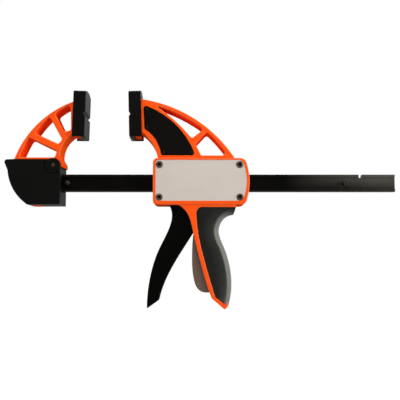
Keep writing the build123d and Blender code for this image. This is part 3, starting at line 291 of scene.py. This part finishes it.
def steel(name, colour, worn, rough, metallic=0.9, socket=None):
    """Plain or blackened steel with a fine, uneven skin, and a screw's socket painted near black: partly
    oily dirt, partly painted shade.
    """
    finish = Finish(name)
    skin = finish.noise(0.7*MM, detail=4.0, roughness=0.6)
    cloud = finish.noise(12*MM, detail=4.0, roughness=0.6)
    tone = (swing(cloud, 1.1) + swing(skin, 0.5) + 0.4).clamped()
    face = finish.mix(tone, colour, worn)
    # painted shade and dirt: the inside of a screw's socket turns near black and loses its metal
    if socket is not None:
        inside = finish.node("ShaderNodeAttribute", {"attribute_name": SOCKET_MARK}, output="Fac")
        face = finish.mix(inside, face, socket)
        metallic = (1.0 - inside)*metallic
    finish.fill(
        finish.shader,
        {
            "Base Color": face,
            "Metallic": metallic,
            "Roughness": (rough + swing(cloud, 0.18) + swing(skin, 0.10)).clamped(),
            "Specular IOR Level": 0.04,
            "Normal": finish.bump(skin, 0.02*MM, 0.4),
        },
    )
    return finish.data


BAR_SHEEN_FROM = 230*MM      # where the painted sheen on the bar's free end begins
FLANGE_FROM = 0.68          # share of the way out from the bar's middle where its flanges begin
FLANGE_GAIN = 8.0           # how sharply they begin


def blacked_bar(name):
    """Black oxide on a rolled bar: drawing lines, browned patches, flanges rubbed by the jaw, and a
    painted sheen towards the free end, lighter on the upper half.
    """
    finish = Finish(name)
    low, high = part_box("bar")
    lines = finish.noise(0.6*MM, (0.012, 1, 1), detail=4.0, roughness=0.6)
    patches = finish.noise(25*MM, (0.5, 1, 1), detail=5.0, roughness=0.6)
    grit = finish.noise(0.6*MM, detail=3.0)
    off_middle = (finish.along("Z") - (low.z + high.z)/2).size()/((high.z - low.z)/2)
    flange = swing(off_middle, FLANGE_GAIN, FLANGE_FROM).clamped()
    rubbed = (flange*(lines*0.9 + patches*0.5 - 0.35)).clamped()
    tone = (swing(patches, 1.4, 0.48) + swing(lines, 0.8) + 0.2).clamped()
    # painted sheen: the bar greys towards its free end and its upper half, standing in for reflected light
    free_end = ((finish.along("X") - BAR_SHEEN_FROM)/(high.x - BAR_SHEEN_FROM)).clamped()
    upper = ((finish.along("Z") - low.z)/(high.z - low.z)*1.6 - 0.35).clamped()
    painted_end_sheen = (free_end*(upper*0.75 + 0.25)*(patches + lines*0.6 + 0.2)).clamped()
    skin = finish.mix(tone, rgb(3, 3, 2), rgb(12, 9, 7))
    skin = finish.mix(painted_end_sheen, skin, rgb(78, 76, 69))
    finish.fill(
        finish.shader,
        {
            "Base Color": finish.mix(rubbed*0.3, skin, rgb(60, 52, 44)),
            "Metallic": 0.2,
            "Roughness": (0.45 + swing(lines, 0.14) + swing(patches, 0.2)).clamped(),
            "Specular IOR Level": 0.05,
            "Normal": finish.bump(lines + grit*0.4, 0.02*MM, 0.5),
        },
    )
    return finish.data


# the orange body's rounded rims carry a painted highlight colour
orange = moulded(
    "orange_body", rgb(250, 80, 18), rgb(251, 92, 30), 0.5, depth=0.006*MM, specular=0.0,
    rim=rgb(255, 158, 100),
)
housing_black = moulded(
    "grained_black", rgb(5, 5, 4), rgb(10, 9, 8), 0.6, grain=0.7*MM, depth=0.06*MM, specular=0.06,
    edge=rgb(58, 56, 52),
)
trigger_black = moulded("trigger_black", rgb(2, 2, 1), rgb(5, 4, 3), 0.5, specular=0.03)
insert_black = moulded(
    "insert_black", rgb(7, 6, 4), rgb(14, 12, 8), 0.65, grain=0.6*MM, depth=0.04*MM, specular=0.04,
    edge=rgb(44, 40, 34),
)
lever_grey = moulded("lever_grey", rgb(108, 88, 75), rgb(118, 100, 88), 0.45, grain=0.6*MM)
pad_rubber = rubber("pad_rubber", rgb(4, 3, 2), rgb(10, 8, 6), 0.55, specular=0.06)
# the grip's painted highlight colour lies on its back
grip_rubber = rubber(
    "grip_rubber", rgb(7, 7, 4), rgb(12, 12, 8), 0.36, pimple=0.7*MM, specular=0.24,
    painted_sheen=rgb(104, 104, 97),
)
cover_metal = brushed(
    "brushed_cover", rgb(220, 209, 198), rgb(200, 190, 180), 0.42, metallic=0.4, streak=0.22
)
# the socket colours here are near black: partly dirt, partly painted shade in the recess
screw_metal = steel("browned_screw", rgb(94, 80, 71), rgb(64, 53, 46), 0.4, socket=rgb(1, 1, 1))
small_screw_metal = steel(
    "small_screw", rgb(38, 32, 26), rgb(26, 22, 17), 0.55, metallic=0.2, socket=rgb(2, 1, 1)
)
pin_metal = steel("dark_pin", rgb(58, 48, 42), rgb(84, 72, 64), 0.4)
inner_steel = brushed("inner_steel", rgb(150, 148, 144), rgb(122, 120, 117), 0.35, along=(1, 1, 0.05))
spring_steel = steel("spring_steel", rgb(132, 130, 127), rgb(98, 96, 93), 0.3, metallic=1.0)
bar_black = blacked_bar("blacked_bar")

FINISH_OF = {
    "bar": bar_black,
    "stop_pins": pin_metal,
    "jaw_housing": housing_black,
    "fixed_arm": orange,
    "jaw_pin": pin_metal,
    "fixed_pad": pad_rubber,
    "moving_pad": pad_rubber,
    "latch_stirrup": inner_steel,
    "latch_button": orange,
    "shell_front": orange,
    "shell_rear": orange,
    "cover_plate_front": cover_metal,
    "cover_plate_rear": cover_metal,
    "insert_front": insert_black,
    "insert_rear": insert_black,
    "soft_grip": grip_rubber,
    "trigger": trigger_black,
    "trigger_pin": inner_steel,
    "drive_plates": inner_steel,
    "release_lever": lever_grey,
    "release_pin": inner_steel,
    "brake_plates": inner_steel,
}
for node, material in FINISH_OF.items():
    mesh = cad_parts[node].data
    mesh.materials.clear()
    mesh.materials.append(material)


# ---------------------------------------------------------------- soft grip
GRIP_CUT = 2.5*MM           # spacing of the cuts that let the grip's sides curve
BACK_STRIP = 6.2*MM         # half width of the flat strip down the grip's back
BACK_ROUND = 10.0*MM        # its rounding on the solid
BACK_FALL = 7.6*MM          # how far the sides draw in towards the back strip
BACK_TURN = 6.5*MM          # width of that turn, clear of the handle's core
SIDE_FALL = 2.7*MM          # and how far they lean in from the border to that turn
LEAN_CURVE = 1.6            # how late the lean comes, above 1
TURN_CURVE = 2.2            # how late the turn comes, above 1
BORDER_REACH = 1.05         # the flat border lies this many roundings from the back strip, or more
GRIP_MERGE = 0.002*MM       # points this near are one point of the grip
GRIP_NEAR = 0.02*MM         # points this near to a face count as on it
CREASE = math.radians(50)   # edges sharper than this stay sharp


def tree_of(points):
    """Search tree over points in the side view."""
    tree = KDTree(len(points))
    for i, point in enumerate(points):
        tree.insert((point.x, 0.0, point.z), i)
    tree.balance()
    return tree


def crowned_grip(node):
    """The grip with its back crowned to fit the hollow of a hand, flush with the handle's lip in front."""
    low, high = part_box(node)
    half = high.y
    work = bmesh.new()
    work.from_mesh(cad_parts[node].data)
    bmesh.ops.remove_doubles(work, verts=work.verts, dist=GRIP_MERGE)
    spots = [vert.co.copy() for vert in work.verts]
    back = tree_of([spot for spot in spots if abs(abs(spot.y) - BACK_STRIP) < GRIP_NEAR])
    flats = [spot for spot in spots if half - abs(spot.y) < GRIP_NEAR]
    clear = BORDER_REACH*BACK_ROUND
    border = tree_of([spot for spot in flats if back.find((spot.x, 0.0, spot.z))[2] > clear])
    for axis in (0, 2):
        normal = Vector([float(i == axis) for i in range(3)])
        for step in range(1, int((high[axis] - low[axis])/GRIP_CUT) + 1):
            spot = low + normal*(step*GRIP_CUT)
            bmesh.ops.bisect_plane(
                work, geom=work.verts[:] + work.edges[:] + work.faces[:], plane_co=spot, plane_no=normal
            )
    bmesh.ops.triangulate(work, faces=work.faces)
    for vert in work.verts:
        side_view = (vert.co.x, 0.0, vert.co.z)
        behind = back.find(side_view)[2]
        ahead = border.find(side_view)[2]
        if behind >= BACK_ROUND:
            solid = half
        else:
            solid = BACK_STRIP + math.sqrt(BACK_ROUND**2 - (BACK_ROUND - behind)**2)
        lean = SIDE_FALL*(ahead/(behind + ahead))**LEAN_CURVE
        turn = BACK_FALL*(1 - min(behind/BACK_TURN, 1.0))**TURN_CURVE
        vert.co.y *= min((half - lean - turn)/solid, 1.0)
    for face in work.faces:
        face.smooth = True
    for edge in work.edges:
        edge.smooth = edge.calc_face_angle(0.0) < CREASE
    mesh = bpy.data.meshes.new("crowned_grip")
    work.to_mesh(mesh)
    work.free()
    mesh.materials.append(FINISH_OF[node])
    piece = bpy.data.objects.new("crowned_grip", mesh)
    scene.collection.objects.link(piece)
    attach(piece, "moving_jaw")
    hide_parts(node)
    return piece


crowned_grip("soft_grip")


# ---------------------------------------------------------------- geometry trees for screws and springs
class Steps:
    """A Geometry Nodes tree with named inputs, built node by node."""

    def __init__(self, name, inputs):
        self.tree = bpy.data.node_groups.new(name, "GeometryNodeTree")
        sockets = self.tree.interface
        sockets.new_socket("Places", in_out="INPUT", socket_type="NodeSocketGeometry")
        for label, kind in inputs.items():
            sockets.new_socket(label, in_out="INPUT", socket_type="NodeSocket" + kind)
        sockets.new_socket("Geometry", in_out="OUTPUT", socket_type="NodeSocketGeometry")
        self.start = self.tree.nodes.new("NodeGroupInput")
        self.end = self.tree.nodes.new("NodeGroupOutput")

    def given(self, label):
        return self.start.outputs[label]

    def add(self, kind, settings=None, inputs=None, output=0):
        node = self.tree.nodes.new(kind)
        for key, value in (settings or {}).items():
            setattr(node, key, value)
        for key, value in (inputs or {}).items():
            for one in value if isinstance(value, list) else [value]:
                if isinstance(one, bpy.types.NodeSocket):
                    self.tree.links.new(one, node.inputs[key])
                else:
                    node.inputs[key].default_value = one
        return node.outputs[output]

    def sums(self, operation, *values):
        return self.add("ShaderNodeMath", {"operation": operation}, dict(enumerate(values)))

    def vector(self, x, y, z):
        return self.add("ShaderNodeCombineXYZ", {}, {0: x, 1: y, 2: z})

    def close(self, geometry):
        """Ends the tree: plain geometry with its material on."""
        real = self.add("GeometryNodeRealizeInstances", {}, {0: geometry})
        done = self.add(
            "GeometryNodeSetMaterial", {}, {"Geometry": real, "Material": self.given("Material")}
        )
        self.tree.links.new(done, self.end.inputs[0])
        return self.tree


def grown(name, tree, places, values, body, node):
    """Runs a tree on a few places and keeps what it makes as a plain piece instead of a CAD node."""
    seeds = bpy.data.meshes.new(name + "_places")
    seeds.from_pydata(places, [], [])
    piece = bpy.data.objects.new(name, seeds)
    scene.collection.objects.link(piece)
    modifier = piece.modifiers.new("grow", "NODES")
    modifier.node_group = tree
    for socket in tree.interface.items_tree:
        if socket.in_out == "INPUT" and socket.name in values:
            modifier[socket.identifier] = values[socket.name]
    seen = piece.evaluated_get(bpy.context.evaluated_depsgraph_get())
    mesh = bpy.data.meshes.new_from_object(seen)
    piece.modifiers.remove(modifier)
    piece.data = mesh
    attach(piece, body)
    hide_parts(node)
    return piece


PART_MERGE = 0.001*MM       # points this near belong to the same part


def loose_parts(node):
    """Lowest and highest corner of each loose part of a CAD node."""
    work = bmesh.new()
    work.from_mesh(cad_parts[node].data)
    bmesh.ops.remove_doubles(work, verts=work.verts, dist=PART_MERGE)
    left = set(work.verts)
    parts = []
    while left:
        todo = [left.pop()]
        points = []
        while todo:
            point = todo.pop()
            points.append(point.co.copy())
            for edge in point.link_edges:
                other = edge.other_vert(point)
                if other in left:
                    left.remove(other)
                    todo.append(other)
        low = Vector([min(point[i] for point in points) for i in range(3)])
        high = Vector([max(point[i] for point in points) for i in range(3)])
        parts.append((low, high))
    work.free()
    return sorted(parts, key=lambda part: (part[0].x, part[0].z))


# Profile of a button head from its seat to its socket's floor: radius and height, as shares
HEAD_DOME = [
    (1.0, 0.0), (1.0, 0.20), (0.985, 0.36), (0.94, 0.54),
    (0.865, 0.71), (0.79, 0.82), (0.72, 0.90), (0.65, 0.95),
]
SOCKET_WALL = [(0.53, 0.94), (0.50, 0.88), (0.50, 0.40), (0.42, 0.34)]
HEAD_SIDES = 36
SHANK_SIDES = 24
COIL_STEPS = 32             # a turn of a coil spring
WIRE_SIDES = 12
HEX_SIDE = math.pi/3        # angle that one side of a hexagon socket takes


def button_head(name):
    """Button head with a hexagon socket, one unit in radius and height, its seat at 0 and up along Z."""
    work = bmesh.new()
    mark = work.verts.layers.float.new(SOCKET_MARK)
    rings = []
    for step, (radius, height) in enumerate(HEAD_DOME + SOCKET_WALL):
        ring = []
        for side in range(HEAD_SIDES):
            angle = 2*math.pi*side/HEAD_SIDES
            reach = radius
            if step >= len(HEAD_DOME):
                reach = radius*math.cos(HEX_SIDE/2)/math.cos(angle % HEX_SIDE - HEX_SIDE/2)
            ring.append(work.verts.new((reach*math.cos(angle), reach*math.sin(angle), height)))
            ring[-1][mark] = float(step > len(HEAD_DOME))
        rings.append(ring)
    for lower, upper in zip(rings, rings[1:]):
        for i in range(HEAD_SIDES):
            j = (i + 1) % HEAD_SIDES
            work.faces.new((lower[i], lower[j], upper[j], upper[i]))
    work.faces.new(rings[-1])
    work.faces.new(list(reversed(rings[0])))
    bmesh.ops.recalc_face_normals(work, faces=work.faces)
    for face in work.faces:
        face.smooth = len(face.verts) == 4
    mesh = bpy.data.meshes.new(name)
    work.to_mesh(mesh)
    work.free()
    return bpy.data.objects.new(name, mesh)


def screw_tree():
    """Button-head screws, one at each place, pointing out along the turned Z."""
    steps = Steps(
        "button_head_screws",
        {
            "Head": "Object",
            "Head Radius": "Float",
            "Head Height": "Float",
            "Shank Radius": "Float",
            "Shank Length": "Float",
            "Turn": "Vector",
            "Material": "Material",
        },
    )
    unit_head = steps.add("GeometryNodeObjectInfo", {}, {"Object": steps.given("Head")}, "Geometry")
    radius = steps.given("Head Radius")
    head = steps.add(
        "GeometryNodeTransform",
        {},
        {"Geometry": unit_head, "Scale": steps.vector(radius, radius, steps.given("Head Height"))},
    )
    shank = steps.add(
        "GeometryNodeMeshCylinder",
        {},
        {
            "Vertices": SHANK_SIDES,
            "Radius": steps.given("Shank Radius"),
            "Depth": steps.given("Shank Length"),
        },
    )
    sunk = steps.sums("MULTIPLY", steps.given("Shank Length"), -0.5)
    shank = steps.add(
        "GeometryNodeTransform", {}, {"Geometry": shank, "Translation": steps.vector(0.0, 0.0, sunk)}
    )
    screw = steps.add("GeometryNodeJoinGeometry", {}, {0: [head, shank]})
    set_out = steps.add(
        "GeometryNodeInstanceOnPoints",
        {},
        {"Points": steps.given("Places"), "Instance": screw, "Rotation": steps.given("Turn")},
    )
    return steps.close(set_out)


def spring_tree():
    """Coil spring of round wire, along the turned Z from each place."""
    steps = Steps(
        "coil_spring",
        {
            "Radius": "Float",
            "Length": "Float",
            "Wire": "Float",
            "Turns": "Float",
            "Turn": "Vector",
            "Material": "Material",
        },
    )
    wire_radius = steps.sums("MULTIPLY", steps.given("Wire"), 0.5)
    rise = steps.sums("SUBTRACT", steps.given("Length"), steps.given("Wire"))
    radius = steps.given("Radius")
    path = steps.add(
        "GeometryNodeCurveSpiral",
        {},
        {
            "Resolution": COIL_STEPS,
            "Rotations": steps.given("Turns"),
            "Start Radius": radius,
            "End Radius": radius,
            "Height": rise,
        },
    )
    section = steps.add(
        "GeometryNodeCurvePrimitiveCircle", {}, {"Resolution": WIRE_SIDES, "Radius": wire_radius}
    )
    coil = steps.add(
        "GeometryNodeCurveToMesh", {}, {"Curve": path, "Profile Curve": section, "Fill Caps": True}
    )
    coil = steps.add("GeometryNodeSetShadeSmooth", {}, {0: coil})
    lifted = steps.add(
        "GeometryNodeTransform", {}, {"Geometry": coil, "Translation": steps.vector(0.0, 0.0, wire_radius)}
    )
    set_out = steps.add(
        "GeometryNodeInstanceOnPoints",
        {},
        {"Points": steps.given("Places"), "Instance": lifted, "Rotation": steps.given("Turn")},
    )
    return steps.close(set_out)


FRONTWARDS = (math.pi/2, 0.0, 0.0)
REARWARDS = (-math.pi/2, 0.0, 0.0)
UPWARDS = (0.0, 0.0, 0.0)
BARWARDS = (0.0, math.pi/2, 0.0)

COVER_SCREW = {
    "Head Radius": 4.0*MM,
    "Head Height": 1.6*MM,
    "Shank Radius": 2.0*MM,
    "Shank Length": 30.0*MM,
}
COVER_NUT = {**COVER_SCREW, "Shank Radius": 3.0*MM, "Shank Length": 10.0*MM}
SMALL_SCREW = {
    "Head Radius": 2.1*MM,
    "Head Height": 1.0*MM,
    "Shank Radius": 1.1*MM,
    "Shank Length": 6.0*MM,
}

screws = screw_tree()
head = button_head("button_head")
for node, front, sizes, material, slot in (
    ("cover_screws", True, COVER_SCREW, screw_metal, "screw_steel"),
    ("cover_nuts", False, COVER_NUT, screw_metal, "screw_steel"),
    ("insert_screws_front", True, SMALL_SCREW, small_screw_metal, "small_screw"),
    ("insert_screws_rear", False, SMALL_SCREW, small_screw_metal, "small_screw"),
):
    height = sizes["Head Height"]
    places = [
        ((low.x + high.x)/2, low.y + height if front else high.y - height, (low.z + high.z)/2)
        for low, high in loose_parts(node)
    ]
    values = {**sizes, "Head": head, "Turn": FRONTWARDS if front else REARWARDS, "Material": material}
    grown("set_of_" + node, screws, places, values, "moving_jaw", node)

X, Z = 0, 2                 # the axis that a spring lies along
springs = spring_tree()
# Wire and travel are in millimetres; travel is how much shorter the joint makes the spring
for node, axis, turn, wire, turns, body, joint, travel in (
    ("latch_spring", Z, UPWARDS, 0.7, 4.0, "bar_and_fixed_jaw", "latch_press", 4.0),
    ("drive_spring", X, BARWARDS, 1.6, 4.5, "moving_jaw", "drive_slide", 7.1),
    ("brake_spring", X, BARWARDS, 1.4, 4.0, "moving_jaw", "brake_tilt", 1.5),
):
    low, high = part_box(node)
    start = (low + high)/2
    end = start.copy()
    start[axis] = low[axis]
    end[axis] = high[axis]
    across = (axis + 1) % 3
    length = (end - start).length
    values = {
        "Radius": (high[across] - low[across])/2 - wire*MM/2,
        "Length": length,
        "Wire": wire*MM,
        "Turns": turns,
        "Turn": turn,
        "Material": spring_steel,
    }
    coil = grown("coiled_" + node, springs, [tuple(start)], values, body, node)
    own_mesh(coil)


# ---------------------------------------------------------------- floor and studio
def flat_sheet(name, corners):
    """A flat sheet of the stage, which is no part of the object."""
    mesh = bpy.data.meshes.new(name)
    mesh.from_pydata(corners, [], [(0, 1, 2, 3)])
    sheet = bpy.data.objects.new(name, mesh)
    scene.collection.objects.link(sheet)
    return sheet


def seen_or_mirrored(finish, gloss=1.0):
    """1 for what the camera sees straight or through glass, gloss for what it sees mirrored, else 0."""
    path = finish.tree.nodes.new("ShaderNodeLightPath")
    rays = ("Is Camera Ray", "Is Glossy Ray", "Is Transmission Ray")
    camera_ray, glossy_ray, transmission_ray = [Amount(finish, path.outputs[ray]) for ray in rays]
    return (camera_ray + glossy_ray*gloss + transmission_ray).clamped()


WHITE = (1, 1, 1, 1)
FLOOR_REACH = 6.0           # half the floor's side, metres
FLOOR_DROP = 0.2*MM         # the floor lies this far under the part
FLOOR_GREY = (0.45, 0.45, 0.45, 1)
FLOOR_WHITE = 1.05          # strength of the white that the camera sees
FLOOR_GLOW = 0.95           # share of it over the lit floor, whose shadows are the rest

floor_z = cad_box[0].z - FLOOR_DROP
corners = [(x*FLOOR_REACH, y*FLOOR_REACH, floor_z) for x, y in ((-1, -1), (1, -1), (1, 1), (-1, 1))]
floor = flat_sheet("floor", corners)
floor_finish = Finish("pale_floor")
floor_finish.fill(
    floor_finish.shader, {"Base Color": FLOOR_GREY, "Roughness": 0.9, "Specular IOR Level": 0.0}
)
glow = floor_finish.node("ShaderNodeEmission", {}, {"Color": WHITE, "Strength": FLOOR_WHITE})
blend = floor_finish.node(
    "ShaderNodeMixShader",
    {},
    {
        0: seen_or_mirrored(floor_finish)*FLOOR_GLOW,
        1: Amount(floor_finish, floor_finish.shader.outputs[0]),
        2: glow,
    },
)
floor_finish.tree.links.new(blend.socket, floor_finish.tree.nodes["Material Output"].inputs["Surface"])
floor.data.materials.append(floor_finish.data)

AMBIENT = 0.22              # light that comes from everywhere
BACKDROP_GAIN = 2.5         # how fast the backdrop whitens from the dim front to the rear
BACKDROP_SIDE = 0.3         # how white it is at the sides

world = Finish("studio", world=True)
background = world.tree.nodes["Background"]
way = world.node("ShaderNodeTexCoord", output="Generated")
rearwards = world.node("ShaderNodeSeparateXYZ", {}, {0: way}, output="Y")
backdrop = (rearwards*BACKDROP_GAIN + BACKDROP_SIDE).clamped()
world.fill(
    background,
    {"Color": WHITE, "Strength": seen_or_mirrored(world, backdrop)*(1 - AMBIENT) + AMBIENT},
)
scene.world = world.data


def softbox(name, place, aim, size, power):
    """A rectangular lamp: its place and aim in metres, its width and height, and its watts."""
    lamp = bpy.data.lights.new(name, "AREA")
    lamp.shape = "RECTANGLE"
    lamp.size, lamp.size_y = size
    lamp.energy = power
    holder = bpy.data.objects.new(name, lamp)
    holder.location = place
    holder.rotation_euler = (Vector(aim) - Vector(place)).to_track_quat("-Z", "Y").to_euler()
    scene.collection.objects.link(holder)


middle = (0.12, 0.0, -0.09)
softbox("key", (0.0, -0.9, 0.95), middle, (0.9, 0.5), 12.0)
softbox("right_side", (1.15, -0.25, 0.05), middle, (0.5, 0.8), 6.0)
softbox("right_front", (0.98, -0.62, 0.05), (0.15, 0.0, -0.15), (0.25, 0.7), 4.5)
softbox("behind", (0.1, 1.0, 0.55), middle, (0.9, 0.5), 5.0)
softbox("left_side", (-0.95, -0.55, 0.2), middle, (0.6, 0.9), 2.6)

# ---------------------------------------------------------------- camera
CAMERA_PLACE = (0.12395, -0.741, -0.1587)
CAMERA_RIGHT = Vector((0.99994, -0.01095, -0.00089))
CAMERA_FORWARD = Vector((0.01099, 0.99662, 0.08135)).normalized()
CAMERA_LENS = 57.33         # millimetres
CAMERA_FILM = 36.0          # its width, millimetres

camera = bpy.data.objects.new("camera", bpy.data.cameras.new("camera"))
camera.data.lens = CAMERA_LENS
camera.data.sensor_width = CAMERA_FILM
camera.data.clip_start, camera.data.clip_end = 0.01, 50.0
upward = CAMERA_RIGHT.cross(CAMERA_FORWARD).normalized()
camera.rotation_euler = Matrix((CAMERA_RIGHT, upward, -CAMERA_FORWARD)).transposed().to_euler()
camera.location = CAMERA_PLACE
scene.collection.objects.link(camera)
scene.camera = camera
scene.view_settings.view_transform = "Standard"
